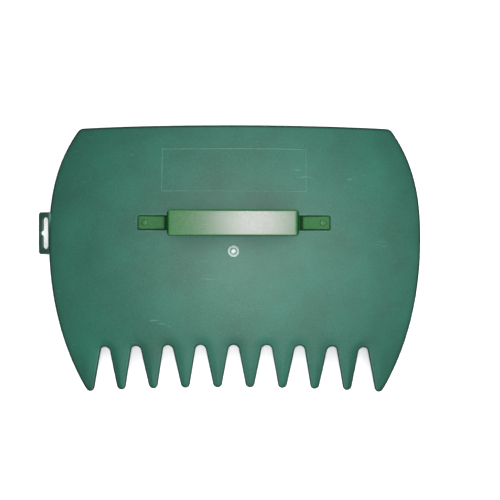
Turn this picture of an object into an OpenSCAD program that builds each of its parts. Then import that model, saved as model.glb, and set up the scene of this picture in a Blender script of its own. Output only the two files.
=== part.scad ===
// Leaf grabber hand: a dished rake blade with ten teeth, worn on the hand by a grip strap.
// The hand lies with its back upwards. X runs across the hand, +Y is the wrist end, and the
// teeth point to -Y. The blade stands on its two wrist corners and its two end teeth.

/* [Blade] */
// Width of the blade across the hand, at its widest line
blade_w = 342.4; // [320:0.2:360]
// Distance from the blade's centre line to its widest line, towards the wrist
wide_y = 20; // [10:1:25]
// Distance from the centre line to the wrist edge
wrist_y = 120; // [112:0.5:124]
// Reach of the side curve above the widest line
upper_reach = 163.5; // [158:0.5:175]
// Power of the side curve above the widest line
upper_power = 2.5; // [2:0.1:3]
// Reach of the side curve below the widest line
lower_reach = 237; // [225:1:250]
// Power of the side curve below the widest line
lower_power = 2.1; // [2:0.1:2.4]
// Length of wrist side that the corner rounding takes up
corner_drop = 2.6; // [2:0.1:4]
// Radius of the dish, outside
dish_r = 300; // [280:1:340]
// Distance from the blade's centre line to the dish's axis, towards the wrist
dish_y = 2; // [0:0.5:4]
// Wall thickness of the blade
wall = 2.4; // [2:0.1:3]
// Thickness of the turned-down rim
rim_t = 2.2; // [1.6:0.1:3]
// Depth of the turned-down rim, from the outside of the dish
rim_depth = 6.5; // [5:0.1:8]
// Height taken off the lowest points of the rim, for four flat feet
foot_cut = 1.5; // [0.8:0.1:2]

/* [Teeth] */
// Number of teeth
teeth = 10; // [8:2:10]
// Spacing of the middle teeth
tooth_pitch = 29.2; // [28:0.1:30]
// Extra sideways reach of the end teeth, where the row fans out
tooth_fan = 4.5; // [2:0.1:5]
// Distance from the centre line to the tips of the middle teeth
tip_y = 115.2; // [110:0.2:118]
// How much further out the end teeth reach than the middle ones
tip_bow = 9.6; // [6:0.2:11]
// Extra reach of the end teeth past the bow of the row
end_reach = 1.9; // [0:0.1:3]
// Radius of the tooth tips
tip_r = 4.1; // [3.5:0.1:4.6]
// Distance from the centre line to the top of the middle gap
gap_y = 75.4; // [70:0.2:80]
// Spacing of the gaps
gap_pitch = 29.4; // [28:0.1:30]
// How much further out the end gaps start than the middle one, at the end teeth
gap_bow = 6.5; // [3:0.1:8]
// Radius of the rounding at the top of a gap
gap_r = 4.8; // [4:0.1:5.4]
// Width of the raised spine along a tooth
spine_w = 4.4; // [3:0.2:6]
// Height of the spine above the dish
spine_h = 0.9; // [0.5:0.1:1.2]
// Length of the spine that runs up into the blade past the gaps
spine_run = 12; // [8:1:16]

/* [Hanging tab] */
// Length of the hanging tab along the blade's side
tab_len = 38.8; // [36:0.2:44]
// Distance from the centre line to the middle of the tab
tab_y = 22.8; // [18:0.2:26]
// Slope of the tab below the horizontal
tab_slope = 30; // [20:1:40]
// Width of the tab down its slope, out from the rim
tab_w = 11.2; // [10:0.2:12.4]
// Thickness of the tab
tab_t = 2; // [1.6:0.1:2.6]
// Radius of the tab's outer corners
tab_corner = 2.6; // [1:0.1:4]
// Length of the hanging slot
slot_len = 29.4; // [26:0.2:31]
// Width of the hanging slot
slot_w = 6; // [4:0.1:6.4]
// Radius of the round notch at the middle of the slot's outer side, for a nail or hook
notch_r = 2.4; // [1.6:0.1:3]

/* [Raised marks] */
// Length of the blank raised panel across the wrist end
panel_l = 129; // [110:1:140]
// Width of the panel
panel_w = 38.5; // [30:0.5:40]
// Distance from the centre line to the middle of the panel
panel_y = 79.8; // [76:0.2:84]
// Height of the panel above the dish
panel_h = 0.5; // [0.3:0.1:0.8]
// Outer diameter of the moulding gate's ring
gate_d = 10.4; // [8:0.1:12]
// Height of the ring above the top of the blade
gate_h = 0.6; // [0.4:0.1:1]
// Thickness of the ring
gate_t = 0.8; // [0.6:0.1:1.4]
// Distance from the centre line to the gate
gate_y = 8; // [4:0.5:12]

/* [Grip strap] */
// Distance from the centre line to the middle of the strap
strap_y = 32.8; // [28:0.2:36]
// Length of the wide bar that the fingers hold
bar_l = 111.8; // [100:0.2:118]
// Width of the bar
bar_w = 22; // [20:0.2:26]
// Height of the bar's top above the top of the blade
bar_rise = 35; // [30:0.5:40]
// Thickness of the strap
strap_t = 3; // [2.6:0.1:3.4]
// Depth of the bar's turned-down edges, from its top
edge_depth = 5.4; // [4:0.2:7]
// Thickness of those edges
edge_t = 2; // [1.6:0.1:2.4]
// Width of the strap's two narrow ends
end_w = 11.9; // [11:0.1:12.4]
// Slope of the legs from the horizontal
leg_slope = 86; // [82:1:88]
// Outer radius of the bends from the bar to the legs
shoulder_r = 6; // [5.6:0.2:9]
// How far the legs are set in from the bar's ends
leg_inset = 0.5; // [0:0.1:1]
// Height of the bar's wide ends, down round the bends
end_drop = 9; // [8:0.5:12]
// Radius of the bends from the legs to the feet, on their upper side
ankle_r = 4; // [3:0.5:5]

/* [Strap pockets] */
// Distance from the strap's middle to the outer end of a pocket
pocket_end = 85.4; // [83:0.2:88]
// Length of a pocket
pocket_l = 33; // [32:0.5:36]
// Slope of a pocket's floor, which is gentler than the dish's own slope there
pocket_tilt = 5; // [3:0.5:8]
// Width of a pocket
pocket_w = 12.5; // [12.5:0.1:13]
// Depth of a pocket's floor below the dish, at the middle of the pocket
pocket_depth = 6.8; // [6.4:0.1:7.2]
// Radius of a pocket's corners
pocket_corner = 1.8; // [1:0.1:3]
// Thickness of a pocket's walls and floor
pocket_wall = 2.2; // [1.8:0.1:2.6]
// Slack between a strap end and the end of its pocket
end_slack = 0.6; // [0.4:0.1:1]

/* [Pegs] */
// Distance from the strap's middle to a peg
peg_x = 79; // [77:0.2:80]
// Diameter of a peg's head
peg_head_d = 6.2; // [5.6:0.1:7]
// Height of a peg's domed head
peg_head_h = 1; // [0.8:0.1:2]
// Diameter of a peg's shank
peg_d = 4; // [3.6:0.1:4.4]
// Diameter of a peg's barb
barb_d = 5; // [4.6:0.1:5.4]
// Diameter of the holes for a peg
peg_hole_d = 4.2; // [4.2:0.1:4.6]
// Width of the slit that lets the barb close up
slit_w = 1; // [0.8:0.1:1.2]

/* [Hidden] */
eps = 0.5;
far = 400;
arc_steps = 8;
side_steps = 24;
dish_fn = 240;
round_fn = 64;
half_w = blade_w / 2;
gaps = teeth - 1;
mid_tooth = gaps / 2;
mid_gap = (gaps - 1) / 2;
fan_power = 4;

// The side curve: half the blade's width at a height y, and the slope of its outward normal.
function reach(y) = y > wide_y ? upper_reach : lower_reach;
function power(y) = y > wide_y ? upper_power : lower_power;
function run(y) = abs(y - wide_y) / reach(y);
function side_x(y) = half_w * sqrt(1 - pow(run(y), power(y)));
function side_bend(y) = half_w * half_w * power(y) / (2 * reach(y));
function side_fall(y) = side_bend(y) * pow(run(y), power(y) - 1) / side_x(y);
function side_angle(y) = (y > wide_y ? 1 : -1) * atan(side_fall(y));

function polar(r, a) = [r * cos(a), r * sin(a)];
function flip(p) = [-p[0], p[1]];
function turn(from, to, i) = from + (to - from) * i / arc_steps;
function arc(centre, r, from, to) = [for (i = [0 : arc_steps]) centre + polar(r, turn(from, to, i))];

// The rounded wrist corner touches the side curve and the straight wrist edge.
corner_y = wrist_y - corner_drop;
corner_a = side_angle(corner_y);
corner_r = corner_drop / (1 - sin(corner_a));
corner_c = [side_x(corner_y), corner_y] - polar(corner_r, corner_a);

// The end tooth's tip touches the side curve at the height end_y.
end_y = -(tip_y + tip_bow - tip_r + end_reach);
end_a = side_angle(end_y);
end_tip = [side_x(end_y), end_y] - polar(tip_r, end_a);

// Centres of the tip roundings and of the gap roundings, from left to right.
function fan(k) = sign(k) * tooth_fan * pow(abs(k) / mid_tooth, fan_power);
function tip_x(i) = (i - mid_tooth) * tooth_pitch + fan(i - mid_tooth);
function bow(x, depth) = depth * pow(x / (mid_tooth * tooth_pitch + tooth_fan), 2);
function mid_tip(i) = [tip_x(i), tip_r - tip_y - bow(tip_x(i), tip_bow)];
function tip(i) = i == 0 ? flip(end_tip) : i == gaps ? end_tip : mid_tip(i);
function gap_x(j) = (j - mid_gap) * gap_pitch;
function gap_top(j) = [gap_x(j), -gap_y - gap_r - bow(gap_x(j), gap_bow)];

// Slopes of the outward normals of a gap's two flanks, which touch a tip and the gap's rounding.
function direction(v) = atan2(v[1], v[0]);
function lean(v) = acos(-(tip_r + gap_r) / norm(v));
function left_flank(j) = let(v = tip(j) - gap_top(j)) direction(v) + lean(v);
function right_flank(j) = let(v = tip(j + 1) - gap_top(j)) direction(v) - lean(v);

// Angles at which the rounding of a tip starts and ends, going from left to right.
function tip_from(i) = i == 0 ? -180 - end_a : right_flank(i - 1);
function tip_to(i) = i == gaps ? end_a : left_flank(i);

// The blade's outline, drawn in by a distance all round.
function side_heights() = [for (i = [0 : side_steps]) end_y + (corner_y - end_y) * i / side_steps];
function right_side(inset) = [for (y = side_heights()) [side_x(y), y] - polar(inset, side_angle(y))];
function reversed(list) = [for (i = [len(list) - 1 : -1 : 0]) list[i]];
function left_side(inset) = reversed([for (p = right_side(inset)) flip(p)]);
function tip_arc(i, inset) = arc(tip(i), tip_r - inset, tip_from(i), tip_to(i));
function gap_arc(j, inset) = arc(gap_top(j), gap_r + inset, left_flank(j) + 180, right_flank(j) + 180);
function tooth_edge(i, inset) = concat(tip_arc(i, inset), i < gaps ? gap_arc(i, inset) : []);
function tooth_row(inset) = [for (i = [0 : gaps]) each tooth_edge(i, inset)];
function right_corner(inset) = arc(corner_c, corner_r - inset, corner_a, 90);
function left_corner(inset) = arc(flip(corner_c), corner_r - inset, 90, 180 - corner_a);
function inner(list) = [for (i = [1 : len(list) - 2]) list[i]];
function wrist_part(inset) = concat(inner(right_side(inset)), right_corner(inset), left_corner(inset));
function outline(inset) = concat(tooth_row(inset), wrist_part(inset), inner(left_side(inset)));

// Heights. The lowest points of the rim are the wrist corners, less the flat feet.
rim_r = dish_r - rim_depth;
low_reach = norm(corner_c - [0, dish_y]) + corner_r;
dish_z = -foot_cut - sqrt(rim_r * rim_r - low_reach * low_reach);
apex_z = dish_z + dish_r;
function dish_top(x, y) = dish_z + sqrt(dish_r * dish_r - x * x - pow(y - dish_y, 2));

// The hanging tab starts inside the rim and slopes down and out.
tab_sink = 1;
tab_inside = 4;
slot_gap = 0.2;
tab_z = dish_top(side_x(tab_y), tab_y) - tab_t / cos(tab_slope) - tab_sink;
tab_root = [-side_x(tab_y), tab_y, tab_z];
tab_reach = tab_w * cos(tab_slope) + tab_t * sin(tab_slope);

// The origin is under the middle of the whole part.
low_y = end_tip[1] - tip_r;
shift = [tab_reach / 2, -(wrist_y + low_y) / 2, 0];

// Pocket frames: at the middle of a pocket, on the dish, tilted as the floor is.
pocket_x = pocket_end - pocket_l / 2 * cos(pocket_tilt);
pocket_z = dish_top(pocket_x, strap_y);
function into_pocket(x) = (x - pocket_x) / cos(pocket_tilt);
function pocket_height(depth, along) = pocket_z - depth * cos(pocket_tilt) - along * sin(pocket_tilt);

module dish(above, below) {
  translate([0, dish_y, dish_z])
    difference() {
      sphere(r = dish_r + above, $fn = dish_fn);
      sphere(r = dish_r - below, $fn = dish_fn);
    }
}

module prism(points) {
  linear_extrude(height = 2 * far, center = true)
    polygon(points);
}

module above_floor() {
  translate([-far, -far, 0])
    cube([2 * far, 2 * far, far]);
}

module shell() {
  intersection() {
    dish(0, wall);
    prism(outline(0));
    above_floor();
  }
}

module rim() {
  intersection() {
    dish(0, rim_depth);
    difference() {
      prism(outline(0));
      prism(outline(rim_t));
    }
    above_floor();
  }
}

// A raised spine runs down each tooth, from inside the blade to near the tip.
function beside_gap(j, side) = gap_top(j) + [side * tooth_pitch / 2, 0];
function spine_top(i) = i < gaps ? beside_gap(i, -1) : beside_gap(gaps - 1, 1);

module spine(i) {
  top = spine_top(i) + [0, gap_r + spine_run];
  path = tip(i) - top;
  translate([top[0], top[1], 0])
    rotate([0, 0, direction(path)])
      linear_extrude(height = far) {
        translate([0, -spine_w / 2])
          square([norm(path), spine_w]);
        translate([norm(path), 0])
          circle(d = spine_w, $fn = round_fn);
      }
}

module spines() {
  intersection() {
    dish(spine_h, wall / 2);
    union() {
      for (i = [0 : gaps]) {
        spine(i);
      }
    }
  }
}

module panel() {
  intersection() {
    dish(panel_h, wall / 2);
    translate([-panel_l / 2, panel_y - panel_w / 2, 0])
      cube([panel_l, panel_w, far]);
  }
}

module gate() {
  translate([0, gate_y, apex_z - wall / 2])
    difference() {
      cylinder(d = gate_d, h = wall / 2 + gate_h, $fn = round_fn);
      translate([0, 0, wall / 2])
        difference() {
          cylinder(d = gate_d - 2 * gate_t, h = wall, $fn = round_fn);
          translate([0, 0, -eps])
            cylinder(d = gate_d / 2, h = 2 * eps, $fn = round_fn);
        }
    }
}

// Hanging tab: drawn flat with +X out from the rim, then sloped down.
module tab_shape() {
  difference() {
    union() {
      translate([-tab_inside, -tab_len / 2])
        square([tab_inside + tab_w - tab_corner, tab_len]);
      translate([0, tab_corner - tab_len / 2])
        square([tab_w, tab_len - 2 * tab_corner]);
      for (side = [-1, 1]) {
        translate([tab_w - tab_corner, side * (tab_len / 2 - tab_corner)])
          circle(r = tab_corner, $fn = round_fn);
      }
    }
    translate([slot_w / 2 + slot_gap, 0])
      slot_shape();
  }
}

module slot_shape() {
  translate([-slot_w / 2, slot_w / 2 - slot_len / 2])
    square([slot_w, slot_len - slot_w]);
  for (side = [-1, 1]) {
    translate([0, side * (slot_len - slot_w) / 2])
      circle(d = slot_w, $fn = round_fn);
  }
  translate([slot_w / 2, 0])
    circle(r = notch_r, $fn = round_fn);
}

module hanging_tab() {
  translate(tab_root)
    rotate([0, 0, 180])
      rotate([0, tab_slope, 0])
        linear_extrude(height = tab_t)
          tab_shape();
}

// A box with rounded upright edges, for a pocket or the walls round it.
module rounded_box(l, w, corner, low, high) {
  translate([0, 0, low])
    linear_extrude(height = high - low) {
      square([l - 2 * corner, w], center = true);
      square([l, w - 2 * corner], center = true);
      for (x = [-1, 1]) {
        for (y = [-1, 1]) {
          translate([x * (l / 2 - corner), y * (w / 2 - corner)])
            circle(r = corner, $fn = round_fn);
        }
      }
    }
}

module at_pocket(side) {
  translate([side * pocket_x, strap_y, pocket_z])
    rotate([0, side * pocket_tilt, 0])
      children();
}

module pocket_walls(side) {
  l = pocket_l + 2 * pocket_wall;
  w = pocket_w + 2 * pocket_wall;
  intersection() {
    at_pocket(side)
      rounded_box(l, w, pocket_corner + pocket_wall, -pocket_depth - pocket_wall, pocket_depth);
    translate([0, dish_y, dish_z])
      sphere(r = dish_r - wall / 2, $fn = dish_fn);
  }
}

module peg_hole(side) {
  at_pocket(side)
    translate([side * into_pocket(peg_x), 0, -2 * pocket_depth])
      cylinder(d = peg_hole_d, h = 2 * pocket_depth, $fn = round_fn);
}

module pocket_room(side) {
  at_pocket(side)
    rounded_box(pocket_l, pocket_w, pocket_corner, -pocket_depth, 2 * pocket_depth);
  peg_hole(side);
}

module blade() {
  color("#4f7f6e")
    translate(shift)
      difference() {
        union() {
          shell();
          rim();
          spines();
          panel();
          gate();
          hanging_tab();
          for (side = [-1, 1]) {
            pocket_walls(side);
          }
        }
        for (side = [-1, 1]) {
          pocket_room(side);
        }
      }
}

// The strap's half profile in X and Z. Each bend is two arcs about one centre, a strap's thickness
// apart. The foot lies on its pocket's floor, and the leg rises from it to the shoulder.
bar_z = apex_z + bar_rise;
foot_top = pocket_depth - strap_t;
function floor_x(depth, along) = pocket_x + along * cos(pocket_tilt) - depth * sin(pocket_tilt);
function on_foot(depth, along) = [floor_x(depth, along), pocket_height(depth, along)];

shoulder_c = [bar_l / 2 - leg_inset - shoulder_r, bar_z - shoulder_r];
leg_n = 90 - leg_slope;
// The ankle's centre is a bend radius above the foot and out from the leg.
ankle_depth = foot_top - ankle_r;
function from_shoulder(along) = (on_foot(ankle_depth, along) - shoulder_c) * polar(1, leg_n);
function leg_gap(along) = from_shoulder(along) - shoulder_r - ankle_r;
ankle_along = -leg_gap(0) / (leg_gap(1) - leg_gap(0));
ankle_c = on_foot(ankle_depth, ankle_along);

function half_side(t) = concat(
  [[0, bar_z - t]],
  arc(shoulder_c, shoulder_r - t, 90, leg_n),
  arc(ankle_c, ankle_r + t, 180 + leg_n, 270 - pocket_tilt),
  [on_foot(foot_top + t, into_pocket(pocket_end) - end_slack)]
);
function half_strap(t) = concat(half_side(0), reversed(half_side(t)));

module strap_band(t, w) {
  translate([0, strap_y + w / 2, 0])
    rotate([90, 0, 0])
      linear_extrude(height = w) {
        polygon(half_strap(t));
        polygon([for (p = half_strap(t)) flip(p)]);
      }
}

// The bar's turned-down edges follow the band's outer side, and stop short of the legs.
module bar_edges() {
  intersection() {
    strap_band(edge_depth, bar_w);
    for (side = [-1, 1]) {
      translate([-bar_l / 2, strap_y + side * (bar_w - edge_t) / 2 - edge_t / 2, bar_z - end_drop])
        cube([bar_l, edge_t, 2 * end_drop]);
    }
  }
}

// What is cut off a wide band, below the bends, to leave the narrow ends.
module beside_ends() {
  for (y = [-1, 1]) {
    translate([0, strap_y + y * (end_w / 2 + far / 2), bar_z - end_drop - far])
      cube([2 * far, far, 2 * far], center = true);
  }
}

module grip_strap() {
  color("#5aa050")
    translate(shift)
      difference() {
        union() {
          difference() {
            strap_band(strap_t, bar_w);
            beside_ends();
          }
          bar_edges();
        }
        for (side = [-1, 1]) {
          peg_hole(side);
        }
      }
}

// A snap peg stands on its strap end with z = 0 under its head. Its barb is split by a slit.
peg_play = 0.1;
grip_len = strap_t + pocket_wall + peg_play;
barb_len = 2.4;
barb_point_d = peg_d - 1.2;
head_join = 0.2;
dome_r = (peg_head_d * peg_head_d / 4 + peg_head_h * peg_head_h) / (2 * peg_head_h);

module peg_head() {
  intersection() {
    translate([0, 0, peg_head_h - dome_r])
      sphere(r = dome_r, $fn = round_fn);
    cylinder(d = peg_head_d, h = 2 * peg_head_h, $fn = round_fn);
  }
}

module peg_shank() {
  difference() {
    union() {
      translate([0, 0, -grip_len])
        cylinder(d = peg_d, h = grip_len + head_join, $fn = round_fn);
      translate([0, 0, -grip_len - barb_len])
        cylinder(d1 = barb_point_d, d2 = barb_d, h = barb_len, $fn = round_fn);
    }
    translate([-slit_w / 2, -barb_d, -grip_len - 2 * barb_len])
      cube([slit_w, 2 * barb_d, 2 * barb_len + grip_len / 4]);
  }
}

module strap_peg(side) {
  color("#4f9a48")
    translate(shift)
      at_pocket(side)
        translate([side * into_pocket(peg_x), 0, -foot_top]) {
          peg_head();
          peg_shank();
        }
}

module left_strap_peg() {
  strap_peg(-1);
}

module right_strap_peg() {
  strap_peg(1);
}

blade();
grip_strap();
left_strap_peg();
right_strap_peg();
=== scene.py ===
"""Leaf grabber hand: a dished blade with ten teeth, a raised grip strap and two snap pegs.

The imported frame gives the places. The blade, the strap and the pegs are modelled again at those
places, with rolled rims, crowned teeth and moulded details, and ride on the frame's one body.
"""

import logging
import math
from contextlib import contextmanager
from dataclasses import dataclass, field
from enum import Enum
from typing import Callable, Iterator

import bmesh
import bpy
import numpy as np
from mathutils import Matrix, Vector


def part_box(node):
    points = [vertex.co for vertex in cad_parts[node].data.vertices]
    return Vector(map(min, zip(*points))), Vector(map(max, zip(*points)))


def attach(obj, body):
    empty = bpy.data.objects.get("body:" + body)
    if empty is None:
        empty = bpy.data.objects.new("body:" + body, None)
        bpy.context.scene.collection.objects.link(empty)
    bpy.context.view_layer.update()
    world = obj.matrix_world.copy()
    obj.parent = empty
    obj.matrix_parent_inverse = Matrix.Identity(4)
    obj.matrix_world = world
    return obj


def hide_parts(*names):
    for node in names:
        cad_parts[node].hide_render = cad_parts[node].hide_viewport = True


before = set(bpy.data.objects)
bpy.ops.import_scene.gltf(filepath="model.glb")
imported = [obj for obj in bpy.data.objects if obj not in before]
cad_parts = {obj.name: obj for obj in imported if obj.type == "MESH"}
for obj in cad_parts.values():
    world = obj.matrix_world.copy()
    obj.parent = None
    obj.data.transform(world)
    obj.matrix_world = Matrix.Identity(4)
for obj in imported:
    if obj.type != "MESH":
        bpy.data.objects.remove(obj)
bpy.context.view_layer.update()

LOG = logging.getLogger("leaf_grabber_hand")
MM = 0.001
BODY = "root"
FOOT_TILT = math.radians(5)
POCKET_END = 85.4 * MM
PEG_HOLE = 2.1 * MM


# ---------------------------------------------------------------------------------------------
# Working by hand in edit mode
# ---------------------------------------------------------------------------------------------


class Pick(Enum):
    """What a click selects in edit mode."""

    POINTS = "VERT"
    EDGES = "EDGE"
    FACES = "FACE"


def take(obj: bpy.types.Object) -> None:
    """Selects one object alone and makes it active."""
    bpy.ops.object.select_all(action="DESELECT")
    obj.select_set(True)
    bpy.context.view_layer.objects.active = obj


@contextmanager
def editing(obj: bpy.types.Object, pick: Pick = Pick.POINTS) -> Iterator[None]:
    """Opens an object in edit mode with nothing selected, and closes it after.

    Args:
        obj: The object to edit.
        pick: What is selected in the mode.
    """
    take(obj)
    bpy.ops.object.mode_set(mode="EDIT")
    bpy.ops.mesh.select_mode(type=pick.value)
    bpy.ops.mesh.select_all(action="DESELECT")
    yield
    bpy.ops.object.mode_set(mode="OBJECT")


def apply_modifier(obj: bpy.types.Object, kind: str, **settings: object) -> None:
    """Adds a modifier with its settings and applies it.

    Args:
        obj: The object that gets it.
        kind: The modifier's type.
        settings: The modifier's own settings, by name.
    """
    take(obj)
    modifier = obj.modifiers.new(kind.title(), kind)
    for name, value in settings.items():
        setattr(modifier, name, value)
    bpy.ops.object.modifier_apply(modifier=modifier.name)


def rename(obj: bpy.types.Object, name: str) -> bpy.types.Object:
    """Gives an object and its mesh one name."""
    obj.name = name
    obj.data.name = name
    return obj


def tidy_faces(obj: bpy.types.Object) -> None:
    """Merges doubled points and turns every face outwards."""
    with editing(obj):
        bpy.ops.mesh.select_all(action="SELECT")
        bpy.ops.mesh.remove_doubles(threshold=0.01 * MM)
        bpy.ops.mesh.normals_make_consistent(inside=False)


def place_points(obj: bpy.types.Object, place: Callable[[np.ndarray], np.ndarray]) -> None:
    """Moves every point of a mesh by a rule.

    Args:
        obj: The mesh object.
        place: Takes the points as rows and returns their new places as rows.
    """
    points = np.empty(len(obj.data.vertices) * 3)
    obj.data.vertices.foreach_get("co", points)
    moved = place(points.reshape(-1, 3))
    obj.data.vertices.foreach_set("co", np.ascontiguousarray(moved).ravel())
    obj.data.update()


def grow(obj: bpy.types.Object, rings: list[np.ndarray], tag: str) -> None:
    """Extrudes what is selected once for each ring, and puts the new points on the ring.

    Args:
        obj: The object, in edit mode.
        rings: The rings in order, each with one row for each tagged point.
        tag: The whole-number layer that holds each selected point's row.
    """
    for ring in rings:
        bpy.ops.mesh.extrude_region_move(TRANSFORM_OT_translate={"value": (0, 0, 0)})
        work = bmesh.from_edit_mesh(obj.data)
        rows = work.verts.layers.int[tag]
        for point in work.verts:
            if point.select:
                point.co = ring[point[rows]]
        bmesh.update_edit_mesh(obj.data)


def extruded(name: str, rings: list[np.ndarray], fill: str, pick: Pick) -> bpy.types.Object:
    """Makes an object from one ring that is extruded onto the others in turn.

    Args:
        name: The object's name.
        rings: The rings in order, with equal numbers of points.
        fill: How the first ring is filled.
        pick: What is selected while it is extruded.

    Returns:
        The new object.
    """
    bpy.ops.object.select_all(action="DESELECT")
    bpy.ops.mesh.primitive_circle_add(vertices=len(rings[0]), radius=1.0, fill_type=fill)
    made = rename(bpy.context.active_object, name)
    rows = made.data.attributes.new("ring_row", "INT", "POINT")
    rows.data.foreach_set("value", list(range(len(rings[0]))))
    made.data.vertices.foreach_set("co", np.ascontiguousarray(rings[0]).ravel())
    with editing(made, pick):
        bpy.ops.mesh.select_all(action="SELECT")
        grow(made, rings[1:], "ring_row")
    tidy_faces(made)
    made.data.attributes.remove(made.data.attributes["ring_row"])
    return made


def loft(name: str, rings: list[np.ndarray]) -> bpy.types.Object:
    """Makes a closed solid from its first cap, through every ring, to its last cap."""
    return extruded(name, rings, "NGON", Pick.POINTS)


def hoop(name: str, rings: list[np.ndarray]) -> bpy.types.Object:
    """Makes a closed hoop from rings that go right round its section and back to the first."""
    return extruded(name, rings + rings[:1], "NOTHING", Pick.EDGES)


def turned(name: str, profile: list[tuple[float, float]], steps: int,
           centre: np.ndarray | float = 0.0) -> bpy.types.Object:
    """Makes a round solid from its profile's radii and heights, upright on a plan point."""
    angles = np.linspace(0.0, 2 * math.pi, steps, endpoint=False)
    return loft(name, [with_height(centre + polar(r, angles), z) for r, z in profile])


def new_grid(name: str, across: int, down: int, size: float = 1.0) -> bpy.types.Object:
    """Makes a flat grid of faces about the origin."""
    bpy.ops.object.select_all(action="DESELECT")
    bpy.ops.mesh.primitive_grid_add(x_subdivisions=across, y_subdivisions=down, size=size)
    return rename(bpy.context.active_object, name)


def delete_faces(obj: bpy.types.Object, chosen: Callable[[Vector], bool]) -> None:
    """Deletes the faces whose middles a rule chooses."""
    with editing(obj, Pick.FACES):
        work = bmesh.from_edit_mesh(obj.data)
        for face in work.faces:
            face.select = bool(chosen(face.calc_center_median()))
        bmesh.update_edit_mesh(obj.data)
        bpy.ops.mesh.delete(type="FACE")


class Cut(Enum):
    """How one solid changes another."""

    ADD = "UNION"
    TAKE_AWAY = "DIFFERENCE"


def carve(obj: bpy.types.Object, tool: bpy.types.Object, how: Cut) -> None:
    """Joins a tool solid to an object or cuts it out, and discards the tool."""
    apply_modifier(obj, "BOOLEAN", object=tool, operation=how.value, solver="EXACT")
    bpy.data.objects.remove(tool, do_unlink=True)


def smooth(obj: bpy.types.Object, degrees: float) -> None:
    """Smooths an object's shading, but not over edges sharper than an angle."""
    take(obj)
    bpy.ops.object.shade_smooth_by_angle(angle=math.radians(degrees))


# ---------------------------------------------------------------------------------------------
# Plan geometry
# ---------------------------------------------------------------------------------------------


def polar(radius: float, angle: float | np.ndarray) -> np.ndarray:
    """Returns points at a radius and at angles in radians, as rows."""
    return np.stack([radius * np.cos(angle), radius * np.sin(angle)], axis=-1)


def arc(centre: np.ndarray, radius: float, start: float, end: float, steps: int) -> np.ndarray:
    """Returns the points of an arc, both ends included, as rows."""
    return centre + polar(radius, np.linspace(start, end, steps + 1))


def between(a: np.ndarray, b: np.ndarray, steps: int) -> np.ndarray:
    """Returns evenly spaced points from a to b, both included, as rows."""
    share = np.linspace(0.0, 1.0, steps + 1)[:, None]
    return a + (b - a) * share


def flipped(points: np.ndarray) -> np.ndarray:
    """Returns points mirrored across the middle plane."""
    return points * np.array([-1.0, 1.0])


def outward(loop: np.ndarray) -> np.ndarray:
    """Returns the unit normals that point out of a closed loop of plan points.

    Args:
        loop: The loop's plan points in order.

    Returns:
        One normal for each point, as rows.
    """
    ahead = np.roll(loop, -1, axis=0) - loop
    ahead /= np.linalg.norm(ahead, axis=1)[:, None]
    along = ahead + np.roll(ahead, 1, axis=0)
    along /= np.linalg.norm(along, axis=1)[:, None]
    area = np.sum(loop[:, 0] * np.roll(loop[:, 1], -1) - loop[:, 1] * np.roll(loop[:, 0], -1))
    turn = 1.0 if area > 0 else -1.0
    return np.stack([along[:, 1], -along[:, 0]], axis=1) * turn


def rounded_rectangle(length: float, width: float, radius: float, step: float) -> np.ndarray:
    """Returns a rounded rectangle's outline about the origin.

    Args:
        length: Its size along X.
        width: Its size along Y.
        radius: The radius of its corners.
        step: The longest gap between two points of a straight side.

    Returns:
        The outline's plan points, anticlockwise.
    """
    corner_steps = 6
    corners = [(1, 1, 0.0), (-1, 1, 0.5), (-1, -1, 1.0), (1, -1, 1.5)]
    turns = []
    for x, y, quarter in corners:
        centre = np.array([x * (length / 2 - radius), y * (width / 2 - radius)])
        start = quarter * math.pi
        turns.append(arc(centre, radius, start, start + math.pi / 2, corner_steps))
    loop = []
    for turn, following in zip(turns, turns[1:] + turns[:1]):
        loop.extend(turn)
        gap = np.linalg.norm(following[0] - turn[-1])
        loop.extend(between(turn[-1], following[0], max(1, round(gap / step)))[1:-1])
    return np.array(loop)


def with_height(plan: np.ndarray, height: float | np.ndarray) -> np.ndarray:
    """Returns plan points with a height added as their third column."""
    return np.column_stack([plan, np.broadcast_to(height, len(plan))])


# ---------------------------------------------------------------------------------------------
# Shape of the blade
# ---------------------------------------------------------------------------------------------


@dataclass(frozen=True)
class Dish:
    """The sphere that the blade's back lies on.

    The centre is read from the frame, in the frame's own axes.
    """

    centre: tuple[float, float, float]
    radius: float = 300 * MM

    def height(self, plan: np.ndarray, offset: float = 0.0) -> np.ndarray:
        """Returns the sphere's height over plan points, at an offset outwards."""
        x, y, z = self.centre
        spread = (plan[..., 0] - x) ** 2 + (plan[..., 1] - y) ** 2
        return z + np.sqrt((self.radius + offset) ** 2 - spread)


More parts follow.
